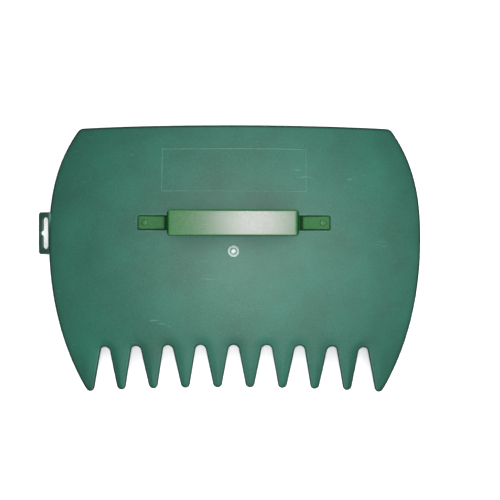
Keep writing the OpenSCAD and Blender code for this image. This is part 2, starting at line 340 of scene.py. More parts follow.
@dataclass(frozen=True)
class Outline:
    """The blade's outline in plan, about the blade's own centre."""

    half_width: float = 171.2 * MM
    widest_y: float = 20 * MM
    wrist_y: float = 120 * MM
    upper: tuple[float, float] = (163.5 * MM, 2.5)
    lower: tuple[float, float] = (237 * MM, 2.1)
    corner_drop: float = 2.6 * MM
    teeth: int = 10
    pitch: float = 29.2 * MM
    fan: float = 4.5 * MM
    tip_y: float = 115.2 * MM
    tip_bow: float = 9.6 * MM
    tip_radius: float = 4.1 * MM
    end_reach: float = 1.9 * MM
    gap_pitch: float = 29.4 * MM
    gap_y: float = 75.4 * MM
    gap_bow: float = 6.5 * MM
    gap_radius: float = 4.8 * MM

    def side_x(self, y: float) -> float:
        """Returns half the blade's width at a height."""
        reach, power = self.upper if y > self.widest_y else self.lower
        return self.half_width * math.sqrt(1 - (abs(y - self.widest_y) / reach) ** power)

    def side_angle(self, y: float) -> float:
        """Returns the angle of the right side's outward normal at a height."""
        reach, power = self.upper if y > self.widest_y else self.lower
        run = abs(y - self.widest_y) / reach
        fall = self.half_width**2 * power / (2 * reach) * run ** (power - 1) / self.side_x(y)
        return math.copysign(math.atan(fall), y - self.widest_y)

    def side_point(self, y: float, inset: float) -> np.ndarray:
        """Returns a point of the right side, drawn in by a distance."""
        return np.array([self.side_x(y), y]) - polar(inset, self.side_angle(y))

    @property
    def corner(self) -> tuple[np.ndarray, float, float]:
        """The wrist corner's centre, radius and starting angle."""
        y = self.wrist_y - self.corner_drop
        angle = self.side_angle(y)
        radius = self.corner_drop / (1 - math.sin(angle))
        return self.side_point(y, radius), radius, angle

    @property
    def end_y(self) -> float:
        """The height at which the right side meets the end tooth's rounding."""
        return -(self.tip_y + self.tip_bow - self.tip_radius + self.end_reach)

    def tip(self, tooth: int) -> np.ndarray:
        """Returns the centre of a tooth tip's rounding, counted from the left."""
        if tooth == self.teeth - 1:
            return self.side_point(self.end_y, self.tip_radius)
        if tooth == 0:
            return flipped(self.tip(self.teeth - 1))
        middle = (self.teeth - 1) / 2
        place = tooth - middle
        x = place * self.pitch + math.copysign(self.fan * (abs(place) / middle) ** 4, place)
        return np.array([x, self.tip_radius - self.tip_y - self.tip_bow * self._bow(x)])

    def gap(self, gap: int) -> np.ndarray:
        """Returns the centre of a gap's rounding, counted from the left."""
        x = (gap - (self.teeth - 2) / 2) * self.gap_pitch
        return np.array([x, -self.gap_y - self.gap_radius - self.gap_bow * self._bow(x)])

    def _bow(self, x: float) -> float:
        """Returns how far out along the bowed tooth row a place is, as a share squared."""
        return (x / ((self.teeth - 1) / 2 * self.pitch + self.fan)) ** 2

    def flank_angle(self, tooth: int) -> float:
        """Returns the angle of the outward normal of a tooth's right flank."""
        if tooth == self.teeth - 1:
            return self.side_angle(self.end_y)
        way = self.tip(tooth) - self.gap(tooth)
        lean = math.acos(-(self.tip_radius + self.gap_radius) / np.linalg.norm(way))
        return math.atan2(way[1], way[0]) + lean


@dataclass(frozen=True)
class RimLoop:
    """The blade's free edge: its points in order, and which way is out."""

    points: np.ndarray
    normals: np.ndarray


@dataclass
class BladeSheet:
    """The blade's back as one sheet of faces, before it gets its rim and its thickness."""

    outline: Outline
    dish: Dish
    centre: np.ndarray
    inset: float
    tooth_columns: int = 10
    gap_columns: int = 6
    upper_rows: int = 62
    turn_rows: int = 3
    flank_rows: int = 13
    tip_rows: int = 5
    tip_share: float = math.radians(52)
    crown_drop: float = 2.3 * MM
    crown_reach: float = 9.5 * MM

    @property
    def lower_rows(self) -> int:
        """Rows of faces from the top of the gaps to the tips."""
        return self.turn_rows + self.flank_rows + self.tip_rows + 1

    @property
    def columns(self) -> int:
        """Columns of faces across the blade."""
        teeth = self.outline.teeth
        return teeth * self.tooth_columns + (teeth - 1) * self.gap_columns

    def tooth_start(self, tooth: int) -> int:
        """Returns the column at which a tooth starts."""
        return tooth * (self.tooth_columns + self.gap_columns)

    def right_flank(self, tooth: int) -> np.ndarray:
        """Returns a tooth's right edge from its root to the start of its tip's end row."""
        shape = self.outline
        angle = shape.flank_angle(tooth)
        tip = arc(shape.tip(tooth), shape.tip_radius - self.inset, angle, angle - self.tip_share,
                  self.tip_rows)
        if tooth == shape.teeth - 1:
            top = shape.gap(tooth - 1)[1] + (shape.gap_radius + self.inset) * math.sin(math.pi / 4)
            heights = np.linspace(top, shape.end_y, self.turn_rows + self.flank_rows + 1)
            side = np.array([shape.side_point(y, self.inset) for y in heights])
            return np.concatenate([side[:-1], tip])
        turn = arc(shape.gap(tooth), shape.gap_radius + self.inset, math.radians(135),
                   angle + math.pi, self.turn_rows)
        straight = between(turn[-1], tip[0], self.flank_rows)
        return np.concatenate([turn[:-1], straight[:-1], tip])

    def flanks(self, tooth: int) -> tuple[np.ndarray, np.ndarray]:
        """Returns a tooth's left and right edges."""
        opposite = self.outline.teeth - 1 - tooth
        return flipped(self.right_flank(opposite)), self.right_flank(tooth)

    def tip_row(self, tooth: int) -> np.ndarray:
        """Returns the end row of a tooth, round its tip from left to right."""
        shape = self.outline
        past = self.tip_share * (1 + 1 / self.tip_rows)
        left = -math.pi - shape.flank_angle(shape.teeth - 1 - tooth) + past
        right = shape.flank_angle(tooth) - past
        return arc(shape.tip(tooth), shape.tip_radius - self.inset, left, right, self.tooth_columns)

    def tooth_rows(self, tooth: int) -> np.ndarray:
        """Returns a tooth's points, row by row from its root to its tip."""
        left, right = self.flanks(tooth)
        rows = [between(a, b, self.tooth_columns) for a, b in zip(left, right)]
        return np.array(rows + [self.tip_row(tooth)])

    def gap_row(self, gap: int) -> np.ndarray:
        """Returns the points over the top of a gap, from left to right."""
        radius = self.outline.gap_radius + self.inset
        start, end = math.radians(135), math.radians(45)
        return arc(self.outline.gap(gap), radius, start, end, self.gap_columns)

    def root_row(self) -> np.ndarray:
        """Returns the row that runs along the tooth roots and over the gaps."""
        row = []
        for tooth in range(self.outline.teeth):
            row.extend(self.tooth_rows(tooth)[0])
            if tooth < self.outline.teeth - 1:
                row.extend(self.gap_row(tooth)[1:-1])
        return np.array(row)

    def side_line(self) -> np.ndarray:
        """Returns the right side and its wrist corner, drawn in, from bottom to top."""
        centre, radius, start = self.outline.corner
        top = self.outline.wrist_y - self.outline.corner_drop
        heights = np.linspace(self.outline.end_y, top, 400)
        side = np.array([self.outline.side_point(y, self.inset) for y in heights])
        turn = arc(centre, radius - self.inset, start, math.pi / 2, 24)
        return np.concatenate([side[:-1], turn])

    def upper_part(self) -> np.ndarray:
        """Returns the points from the wrist edge down to the root row, row by row."""
        root = self.root_row()
        line = self.side_line()

        def edge(y: np.ndarray) -> np.ndarray:
            return np.interp(y, line[:, 1], line[:, 0])

        share = root[:, 0] / edge(root[:, 1])
        top = self.outline.wrist_y - self.inset
        _, radius, start = self.outline.corner
        turn = np.linspace(math.pi / 2, start, 4)
        drops = (radius - self.inset) * (1 - np.sin(turn))
        evenly = np.linspace(0.0, 1.0, self.upper_rows - 2)[1:]
        rows = []
        for drop in drops:
            y = np.full(len(root), top - drop)
            rows.append(np.column_stack([share * edge(y), y]))
        for part in evenly:
            y = (top - drops[-1]) * (1 - part) + root[:, 1] * part
            rows.append(np.column_stack([share * edge(y), y]))
        return np.array(rows)

    def toothed_edge(self) -> np.ndarray:
        """Returns close points along the true edge of the gaps and the tooth flanks."""
        true = BladeSheet(self.outline, self.dish, self.centre, 0.0, self.tooth_columns)
        points = []
        for tooth in range(self.outline.teeth):
            left, right = true.flanks(tooth)
            if tooth > 0:
                points.append(left)
            if tooth < self.outline.teeth - 1:
                points.append(right)
                points.append(true.gap_row(tooth))
            points.append(true.tip_row(tooth))
        return np.concatenate(points)

    def crown(self, plan: np.ndarray) -> np.ndarray:
        """Returns how far the back dips below the dish, towards the gaps and flanks."""
        edge = self.toothed_edge()
        near = np.full(len(plan), np.inf)
        for a, b in zip(edge[:-1], edge[1:]):
            if np.linalg.norm(b - a) > self.outline.gap_radius * 2:
                continue
            middle = (a + b) / 2
            near = np.minimum(near, np.hypot(*(plan - a).T))
            near = np.minimum(near, np.hypot(*(plan - middle).T))
        share = np.clip(1 - near / self.crown_reach, 0.0, 1.0)
        return self.crown_drop * share**2

    def build(self) -> bpy.types.Object:
        """Lays a grid on the outline, opens the gaps and presses it to the dish."""
        rows = self.upper_rows + self.lower_rows
        sheet = new_grid("blade_back", self.columns, rows)
        target = np.zeros((rows + 1, self.columns + 1, 2))
        target[: self.upper_rows + 1] = self.upper_part()
        for tooth in range(self.outline.teeth):
            start = self.tooth_start(tooth)
            span = slice(start, start + self.tooth_columns + 1)
            target[self.upper_rows:, span] = self.tooth_rows(tooth)

        def lay(points: np.ndarray) -> np.ndarray:
            column = np.rint((points[:, 0] + 0.5) * self.columns).astype(int)
            row = np.rint((0.5 - points[:, 1]) * rows).astype(int)
            plan = target[row, column]
            height = self.dish.height(plan + self.centre) - self.crown(plan)
            return with_height(plan + self.centre, height)

        self._open_gaps(sheet, rows)
        place_points(sheet, lay)
        return sheet

    def _open_gaps(self, sheet: bpy.types.Object, rows: int) -> None:
        """Deletes the grid's faces that lie in the gaps between the teeth."""
        root_y = 0.5 - self.upper_rows / rows
        period = self.tooth_columns + self.gap_columns

        def in_gap(middle: Vector) -> bool:
            column = int((middle.x + 0.5) * self.columns)
            return column % period >= self.tooth_columns and middle.y < root_y

        delete_faces(sheet, in_gap)


def free_edge(obj: bpy.types.Object, tag: str) -> RimLoop:
    """Selects a sheet's free edge in edit mode and numbers its points in order.

    Args:
        obj: The sheet, in edit mode.
        tag: The whole-number layer that takes each point's row in the loop.

    Returns:
        The loop, with its normals in plan.
    """
    work = bmesh.from_edit_mesh(obj.data)
    rows = work.verts.layers.int.new(tag)
    edges = [edge for edge in work.edges if edge.is_boundary]
    for edge in edges:
        edge.select = True
    start = edges[0].verts[0]
    loop, last, here = [start], None, start
    while True:
        onward = [e for e in here.link_edges if e.is_boundary and e is not last]
        last = onward[0]
        here = last.other_vert(here)
        if here is start:
            break
        loop.append(here)
    for row, point in enumerate(loop):
        point[rows] = row
    points = np.array([point.co[:] for point in loop])
    bmesh.update_edit_mesh(obj.data)
    return RimLoop(points, outward(points[:, :2]))


def rolled(edge: RimLoop, roll: float, steps: int) -> list[tuple[np.ndarray, float]]:
    """Returns an edge's plan points pushed out through a quarter turn, step by step.

    Args:
        edge: The free edge.
        roll: The turn's radius.
        steps: How many steps the turn has.

    Returns:
        For each step, the plan points and how far they have fallen.
    """
    angles = [math.pi / 2 * step / steps for step in range(1, steps + 1)]
    return [(edge.points[:, :2] + edge.normals * roll * math.sin(angle),
             roll * (1 - math.cos(angle))) for angle in angles]


@dataclass
class HangingTab:
    """The tab on the blade's side, with its slot and the round notch for a nail."""

    root: np.ndarray
    length: float = 38.8 * MM
    width: float = 11.2 * MM
    inside: float = 3.4 * MM
    thickness: float = 2 * MM
    corner: float = 2.6 * MM
    slope: float = math.radians(30)
    slot_length: float = 29.4 * MM
    slot_width: float = 6 * MM
    notch_radius: float = 2.4 * MM
    edge: float = 0.5 * MM

    def to_place(self) -> Matrix:
        """Returns the turn and the move from the flat drawing to the blade's side."""
        turn = Matrix.Rotation(math.pi, 4, "Z") @ Matrix.Rotation(self.slope, 4, "Y")
        return Matrix.Translation(Vector(self.root)) @ turn

    def slot_loop(self, grown: float) -> np.ndarray:
        """Returns the slot's outline with its notch, grown all round by a distance."""
        half = self.slot_width / 2 + grown
        straight = (self.slot_length - self.slot_width) / 2
        notch = self.notch_radius + grown
        offset = self.slot_width / 2
        meet = math.asin(max(-1.0, (half - offset) / notch))
        reach = notch * math.cos(meet)
        top = arc(np.array([0.0, straight]), half, 0.0, math.pi, 14)
        bottom = arc(np.array([0.0, -straight]), half, math.pi, 2 * math.pi, 14)
        bulge = arc(np.array([offset, 0.0]), notch, meet - math.pi / 2, math.pi / 2 - meet, 14)
        lower = between(bottom[-1], np.array([half, -reach]), 4)[1:]
        upper = between(np.array([half, reach]), top[0], 4)[:-1]
        return np.concatenate([top, bottom, lower, bulge[1:-1], upper])

    def build(self) -> bpy.types.Object:
        """Makes the tab as a plate with softened edges, cuts its slot and sets it in place."""
        length = self.width + self.inside
        base = rounded_rectangle(length, self.length, self.corner, 4 * MM)
        base = base + np.array([(self.width - self.inside) / 2, 0.0])
        out = outward(base)
        low, high, soft = 0.0, self.thickness, self.edge
        steps = [(soft, low), (soft * 0.3, soft * 0.3), (0.0, soft), (0.0, high - soft),
                 (soft * 0.3, high - soft * 0.3), (soft, high)]
        tab = loft("hanging_tab", [with_height(base - out * inset, z) for inset, z in steps])
        shift = np.array([self.slot_width / 2 + 0.2 * MM, 0.0])
        flare = [(soft, low - soft), (soft, low), (0.0, soft), (0.0, high - soft), (soft, high),
                 (soft, high + soft)]
        slot = loft("slot_cutter", [with_height(self.slot_loop(g) + shift, z) for g, z in flare])
        carve(tab, slot, Cut.TAKE_AWAY)
        tab.data.transform(self.to_place())
        return tab


@dataclass
class StrapPocket:
    """One of the two recesses in the blade that take the strap's feet."""

    middle: np.ndarray
    dish: Dish
    side: int
    length: float = 33 * MM
    width: float = 12.5 * MM
    corner: float = 1.8 * MM
    depth: float = 6.8 * MM
    wall: float = 2.2 * MM
    tilt: float = FOOT_TILT
    chamfer: float = 0.7 * MM

    def floor(self, plan: np.ndarray, below: float) -> np.ndarray:
        """Returns the floor's height over plan points, lowered by a distance."""
        rise = self.dish.height(self.middle[None])[0] - self.depth / math.cos(self.tilt) - below
        away = (plan[:, 0] - self.middle[0]) * self.side
        return rise - away * math.tan(self.tilt)

    def loop(self, grown: float) -> np.ndarray:
        """Returns the pocket's outline in plan, grown by a distance."""
        radius = self.corner + grown
        shape = rounded_rectangle(self.length + 2 * grown, self.width + 2 * grown, radius, 3 * MM)
        return shape + self.middle

    def walls(self) -> bpy.types.Object:
        """Makes the closed box under the blade that holds the pocket."""
        soft = 0.6 * MM
        outer, inner = self.loop(self.wall), self.loop(self.wall - soft)
        rings = [
            with_height(inner, self.floor(inner, self.wall)),
            with_height(outer, self.floor(outer, self.wall - soft)),
            with_height(outer, self.dish.height(outer, -1.4 * MM)),
        ]
        return loft("pocket_walls", rings)

    def room(self) -> bpy.types.Object:
        """Makes the space inside the pocket, flared where it comes through the back."""
        inner, flared = self.loop(0.0), self.loop(self.chamfer)
        rings = [
            with_height(inner, self.floor(inner, 0.0)),
            with_height(inner, self.dish.height(inner, -self.chamfer)),
            with_height(flared, self.dish.height(flared, 0.02 * MM)),
            with_height(flared, self.dish.height(flared, 4 * MM)),
        ]
        return loft("pocket_room", rings)


@dataclass
class Blade:
    """The dished blade: one moulding with its teeth, rim, tab, pockets and raised marks."""

    outline: Outline
    dish: Dish
    centre: np.ndarray
    strap_y: float
    peg_places: list[Matrix]
    roll: float = 2.6 * MM
    roll_steps: int = 5
    wall: float = 2.2 * MM
    rim_depth: float = 6.5 * MM
    gate_y: float = 8 * MM
    gate_radius: float = 5.2 * MM
    panel_y: float = 79.8 * MM
    panel_size: tuple[float, float] = (129 * MM, 38.5 * MM)
    tab_y: float = 22.8 * MM
    tab_sink: float = 1 * MM

    def _roll_rim(self, sheet: bpy.types.Object) -> None:
        """Rolls the sheet's free edge over and turns it down to the rim's depth."""
        with editing(sheet, Pick.EDGES):
            edge = free_edge(sheet, "rim_row")
            plan, low = edge.points[:, :2], edge.points[:, 2]
            crown = self.dish.height(plan) - low
            rings = []
            for out, fall in rolled(edge, self.roll, self.roll_steps):
                rings.append(with_height(out, self.dish.height(out) - crown - fall))
            foot = np.maximum(self.dish.height(out, -self.rim_depth), 0.0)
            turned = rings[-1][:, 2]
            for share in (0.5, 1.0):
                rings.append(with_height(out, turned + (foot - turned) * share))
            grow(sheet, rings, "rim_row")
        sheet.data.attributes.remove(sheet.data.attributes["rim_row"])

    def _gate_mark(self) -> bpy.types.Object:
        """Makes the raised ring and nub that the moulding gate leaves."""
        middle = self.centre + np.array([0.0, self.gate_y])
        top = self.dish.height(middle[None])[0]
        outer = self.gate_radius
        profile = [(outer, -1.2), (outer, 0.35), (outer - 0.25 * MM, 0.6), (outer - 0.8 * MM, 0.6),
                   (outer - 1.1 * MM, 0.3), (outer - 1.3 * MM, -0.2), (outer / 2 + 0.3 * MM, -0.2),
                   (outer / 2, 0.2), (outer / 2 - 0.3 * MM, 0.5), (outer / 2 - 1 * MM, 0.6)]
        return turned("gate_mark", [(r, top + z * MM) for r, z in profile], 48, middle)

    def _panel_line(self) -> bpy.types.Object:
        """Makes the fine raised line round the blank panel."""
        length, width = self.panel_size
        middle = self.centre + np.array([0.0, self.panel_y])
        section = [(0.0, -0.5), (0.0, 0.03), (0.25, 0.13), (0.45, 0.2), (0.65, 0.13), (0.9, 0.03),
                   (0.9, -0.5)]
        rings = []
        for inset, rise in section:
            shrunk = 2 * inset * MM
            loop = rounded_rectangle(length - shrunk, width - shrunk, 1.6 * MM - inset * MM, 4 * MM)
            loop = loop + middle
            rings.append(with_height(loop, self.dish.height(loop, rise * MM)))
        return hoop("panel_line", rings)

    def _peg_hole(self, place: Matrix) -> bpy.types.Object:
        """Makes the cutter for a peg's hole."""
        hole = turned("peg_hole", [(PEG_HOLE, -12 * MM), (PEG_HOLE, 1 * MM)], 32)
        hole.data.transform(place)
        return hole

    def build(self) -> bpy.types.Object:
        """Builds the whole blade.

        Returns:
            The finished blade.
        """
        sheet = BladeSheet(self.outline, self.dish, self.centre, self.roll)
        blade = sheet.build()
        self._roll_rim(blade)
        apply_modifier(blade, "SOLIDIFY", thickness=self.wall, offset=-1.0,
                       use_even_offset=True, use_quality_normals=True)
        tidy_faces(blade)
        root_plan = np.array([-self.outline.side_x(self.tab_y), self.tab_y]) + self.centre
        tab = HangingTab(np.append(root_plan, 0.0))
        lift = tab.thickness / math.cos(tab.slope) + self.tab_sink
        tab.root[2] = self.dish.height(root_plan[None])[0] - lift
        carve(blade, tab.build(), Cut.ADD)
        for side in (-1, 1):
            x = side * (POCKET_END - StrapPocket.length / 2 * math.cos(StrapPocket.tilt))
            middle = np.array([self.centre[0] + x, self.strap_y])
            pocket = StrapPocket(middle, self.dish, side)
            carve(blade, pocket.walls(), Cut.ADD)
            carve(blade, pocket.room(), Cut.TAKE_AWAY)
        for place in self.peg_places:
            carve(blade, self._peg_hole(place), Cut.TAKE_AWAY)
        carve(blade, self._gate_mark(), Cut.ADD)
        carve(blade, self._panel_line(), Cut.ADD)
        smooth(blade, 38)
        return rename(blade, "blade_shell")


# ---------------------------------------------------------------------------------------------
# Grip strap
# ---------------------------------------------------------------------------------------------


@dataclass(frozen=True)
class StrapPath:
    """The line of the strap's upper side from its middle to the end of one foot.

    It runs flat along the bar, over the shoulder, down the leg, round the ankle, along the foot
    and down its toe. Places along it are distances from the middle.
    """

    bar_half: float
    bar_z: float
    foot: tuple[float, float]
    foot_end_x: float
    shoulder: float = 2.4 * MM
    leg_slope: float = math.radians(86)
    ankle: float = 4 * MM
    tilt: float = FOOT_TILT
    toe: float = 2.9 * MM
    toe_tilt: float = math.radians(10)
    steps: int = 120

    def bend(self, centre: np.ndarray, radius: float, start: float, end: float) -> np.ndarray:
        """Returns a bend's rows of x, z and heading. A negative radius bends upwards."""
        heading = np.linspace(start, end, self.steps)
        side = np.stack([np.sin(heading), np.cos(heading)], axis=1)
        return np.column_stack([centre + radius * side, heading])

    def straight(self, start: np.ndarray, end: np.ndarray, heading: float) -> np.ndarray:
        """Returns a straight stretch's rows of x, z and heading."""
        return with_height(between(start, end, self.steps), heading)

    def trace(self) -> tuple[np.ndarray, np.ndarray]:
        """Traces the path finely.

        Returns:
            The distances along the path, and rows of x, z and heading.
        """
        turn, tilt = self.leg_slope, self.tilt
        top = np.array([0.0, self.bar_z])
        flat_end = np.array([self.bar_half - self.shoulder, self.bar_z])
        centre = flat_end - np.array([0.0, self.shoulder])
        over = self.bend(centre, self.shoulder, 0.0, turn)
        down = np.array([math.cos(turn), -math.sin(turn)])
        along = np.array([math.cos(tilt), -math.sin(tilt)])
        up = np.array([math.sin(tilt), math.cos(tilt)])
        corner = self._meet(over[-1, :2], down, np.array(self.foot), along)
        trim = self.ankle * math.tan((turn - tilt) / 2)
        foot_start = corner + along * trim
        toe_x = self.foot_end_x - self.toe
        toe_start = foot_start + along * (toe_x - foot_start[0]) / along[0]
        toe_end = toe_start + self.toe * np.array([1.0, -math.tan(self.toe_tilt)])
        rows = np.concatenate([
            self.straight(top, flat_end, 0.0),
            over,
            self.straight(over[-1, :2], corner - down * trim, turn),
            self.bend(foot_start + up * self.ankle, -self.ankle, turn, tilt),
            self.straight(foot_start, toe_start, tilt),
            self.straight(toe_start, toe_end, self.toe_tilt),
        ])
        apart = np.hypot(*np.diff(rows[:, :2], axis=0).T) > 1e-9
        rows = rows[np.concatenate([[True], apart])]
        steps = np.hypot(*np.diff(rows[:, :2], axis=0).T)
        return np.concatenate([[0.0], np.cumsum(steps)]), rows

    @staticmethod
    def _meet(a: np.ndarray, way_a: np.ndarray, b: np.ndarray, way_b: np.ndarray) -> np.ndarray:
        """Returns where two lines cross."""
        share = np.linalg.solve(np.column_stack([way_a, -way_b]), b - a)[0]
        return a + way_a * share


@dataclass
class GripStrap:
    """The strap: moulded flat, with turned-down edges along the bar, then bent to its path."""

    middle: np.ndarray
    path: StrapPath
    peg_x: float
    bar_half_width: float = 11 * MM
    end_half_width: float = 5.95 * MM
    bar_corner: float = 3.8 * MM
    inner_corner: float = 0.8 * MM
    end_corner: float = 1.4 * MM
    thickness: float = 2 * MM
    leg_depth: float = 2.3 * MM
    edge_depth: float = 5.4 * MM
    flange: float = 1.2 * MM
    roll: float = 0.6 * MM
    roll_steps: int = 4
    band_rows: int = 8
    wing_rows: int = 4
    wing_end_heading: float = math.radians(78)

    def _half_width(self, s: np.ndarray, wing: float, end: float) -> np.ndarray:
        """Returns the half width of the strap's middle band at distances along it."""
        inner, narrow = self.inner_corner + self.roll, self.end_half_width - self.roll
        wide = narrow + inner
        into = np.clip(wing + inner - s, 0.0, inner)
        width = np.where(s <= wing, wide, wide - np.sqrt(np.maximum(inner**2 - into**2, 0.0)))
        corner = self.end_corner - self.roll
        past = np.clip(s - (end - corner), 0.0, corner)
        return width - (corner - np.sqrt(np.maximum(corner**2 - past**2, 0.0)))

    def _stations(self, wing: float, end: float) -> np.ndarray:
        """Returns the places of the strap's cross rows, from the middle to one end."""
        inner, corner = self.inner_corner + self.roll, self.end_corner - self.roll
        bar_corner = self.bar_corner - self.roll
        quarter = np.linspace(0.0, math.pi / 2, 7)
        flat = np.linspace(0.0, wing - bar_corner, 36)
        wing_turn = wing - bar_corner + bar_corner * np.sin(quarter)[1:]
        fillet = wing + inner * (1 - np.cos(quarter))[1:]
        leg = np.linspace(wing + inner, end - corner, 72)[1:]
        tail = end - corner + corner * np.sin(quarter)[1:]
        return np.concatenate([flat, wing_turn, fillet, leg, tail])

    def build(self) -> bpy.types.Object:
        """Moulds the strap flat, bends it and returns the finished piece."""
        lengths, rows = self.path.trace()
        wing = float(lengths[np.argmax(rows[:, 2] > self.wing_end_heading)]) - self.roll
        end = float(lengths[-1]) - self.roll
        half = self._stations(wing, end)
        stations = np.concatenate([-half[:0:-1], half])
        columns, grid_rows = len(stations) - 1, self.band_rows + 2 * self.wing_rows
        strap = new_grid("grip_strap_moulding", columns, grid_rows)
        self._drop_wings(strap, stations, wing, grid_rows)

        def lay(points: np.ndarray) -> np.ndarray:
            column = np.rint((points[:, 0] + 0.5) * columns).astype(int)
            row = np.rint((0.5 - points[:, 1]) * grid_rows).astype(int)
            s = stations[column]
            away = row - grid_rows / 2
            band = self._half_width(np.abs(s), wing, end)
            corner = self.bar_corner - self.roll
            past = np.clip(np.abs(s) - (wing - corner), 0.0, corner)
            wide = self.bar_half_width - self.roll - (corner - np.sqrt(corner**2 - past**2))
            inside = away / (self.band_rows / 2) * band
            beyond = (np.abs(away) - self.band_rows / 2) / self.wing_rows
            outside = np.sign(away) * (band + (wide - band) * beyond)
            w = np.where(np.abs(away) <= self.band_rows / 2, inside, outside)
            return np.column_stack([s, -w, np.zeros(len(s))])

        place_points(strap, lay)
        self._turn_edges(strap, wing)
        bends_from = self.path.bar_half - 2 * self.path.shoulder
        self._score(strap, stations[np.abs(stations) > bends_from])
        tidy_faces(strap)
        self._drill(strap)
        place_points(strap, self._bend)
        smooth(strap, 40)
        return strap

    def _drop_wings(self, strap: bpy.types.Object, stations: np.ndarray, wing: float, rows: int
                    ) -> None:
        """Deletes the grid's outer rows past the ends of the wide bar."""
        columns = len(stations) - 1

        def past_bar(middle: Vector) -> bool:
            column = int((middle.x + 0.5) * columns)
            row = int((0.5 - middle.y) * rows)
            outer = row < self.wing_rows or row >= rows - self.wing_rows
            return outer and abs(stations[column] + stations[column + 1]) / 2 > wing

        delete_faces(strap, past_bar)

    def _turn_edges(self, strap: bpy.types.Object, wing: float) -> None:
        """Rolls the edge over and down, deeper along the bar, then closes the underside."""
        with editing(strap, Pick.EDGES):
            edge = free_edge(strap, "rim_row")
            plan = edge.points[:, :2]
            rings = []
            for out, fall in rolled(edge, self.roll, self.roll_steps):
                rings.append(with_height(out, -fall))
            fade = np.clip((wing - 10 * MM - np.abs(out[:, 0])) / (8 * MM), 0.0, 1.0)
            fade = fade * fade * (3 - 2 * fade)
            depth = self.leg_depth + (self.edge_depth - self.leg_depth) * fade
            within = plan - edge.normals * (self.flange - self.roll)
            rings += [with_height(out, -depth), with_height(within, -depth),
                      with_height(within, -self.thickness)]
            grow(strap, rings, "rim_row")
            bpy.ops.mesh.edge_face_add()
        strap.data.attributes.remove(strap.data.attributes["rim_row"])

    def _score(self, strap: bpy.types.Object, places: np.ndarray) -> None:
        """Cuts the one-piece underside across, so that it can bend with the top."""
        with editing(strap):
            for place in places:
                bpy.ops.mesh.select_all(action="SELECT")
                bpy.ops.mesh.bisect(plane_co=(place, 0, 0), plane_no=(1, 0, 0), threshold=1e-6)

    def _drill(self, strap: bpy.types.Object) -> None:
        """Drills the hole for a peg in each foot."""
        lengths, rows = self.path.trace()
        place = float(np.interp(self.peg_x, rows[:, 0], lengths))
        for side in (-1, 1):
            spot = np.array([side * place, 0.0])
            hole = turned("foot_hole", [(PEG_HOLE, -8 * MM), (PEG_HOLE, 2 * MM)], 32, spot)
            carve(strap, hole, Cut.TAKE_AWAY)

    def _bend(self, points: np.ndarray) -> np.ndarray:
        """Bends flat points to the path."""
        lengths, rows = self.path.trace()
        x, z, heading = (np.interp(np.abs(points[:, 0]), lengths, column) for column in rows.T)
        x = x + points[:, 2] * np.sin(heading)
        z = z + points[:, 2] * np.cos(heading)
        side = np.sign(points[:, 0])
        return np.column_stack([self.middle[0] + side * x, self.middle[1] + points[:, 1], z])


# ---------------------------------------------------------------------------------------------
# Pegs
# ---------------------------------------------------------------------------------------------


@dataclass
class SnapPeg:
    """A snap peg with a domed head and a barb that is split by a slit."""

    place: Matrix
    name: str
    head_radius: float = 3.1 * MM
    head_height: float = 1.0 * MM
    shank_radius: float = 2 * MM
    barb_radius: float = 2.5 * MM
    grip: float = 5.3 * MM
    barb: float = 2.4 * MM
    slit: float = 1 * MM

    def build(self) -> bpy.types.Object:
        """Turns the peg's profile, cuts its slit and sets it in its hole."""
        grip, barb = self.grip, self.barb
        profile = [
            (self.shank_radius - 0.6 * MM, -grip - barb),
            (self.shank_radius - 0.35 * MM, -grip - barb + 0.25 * MM),
            (self.barb_radius - 0.15 * MM, -grip - 0.25 * MM),
            (self.barb_radius, -grip - 0.1 * MM),
            (self.barb_radius - 0.1 * MM, -grip),
            (self.shank_radius, -grip),
            (self.shank_radius, -0.02 * MM),
            (self.head_radius - 0.2 * MM, 0.0),
            (self.head_radius, 0.2 * MM),
        ]
        for share in (0.25, 0.45, 0.65, 0.82, 0.93):
            angle = share * math.pi / 2
            rise = 0.2 * MM + (self.head_height - 0.2 * MM) * math.sin(angle)
            profile.append((self.head_radius * math.cos(angle), rise))
        peg = turned(self.name, profile, 40)
        bpy.ops.object.select_all(action="DESELECT")
        bpy.ops.mesh.primitive_cube_add(size=1.0, location=(0, 0, -grip - barb / 2))
        slit = rename(bpy.context.active_object, "slit_cutter")
        slit.data.transform(Matrix.Diagonal((self.slit, 4 * self.barb_radius, grip + barb, 1)))
        slit.data.transform(Matrix.Translation(slit.location))
        slit.location = (0, 0, 0)
        carve(peg, slit, Cut.TAKE_AWAY)
        peg.data.transform(self.place)
        smooth(peg, 40)
        return peg


# ---------------------------------------------------------------------------------------------
# Finishes
# ---------------------------------------------------------------------------------------------

Colour = tuple[float, float, float, float]


def linear(red: int, green: int, blue: int) -> Colour:
    """Returns a screen colour from 0 to 255 as the linear colour that shaders use."""
    parts = [value / 255 for value in (red, green, blue)]
    made = [p / 12.92 if p <= 0.04045 else ((p + 0.055) / 1.055) ** 2.4 for p in parts]
    return (*made, 1.0)


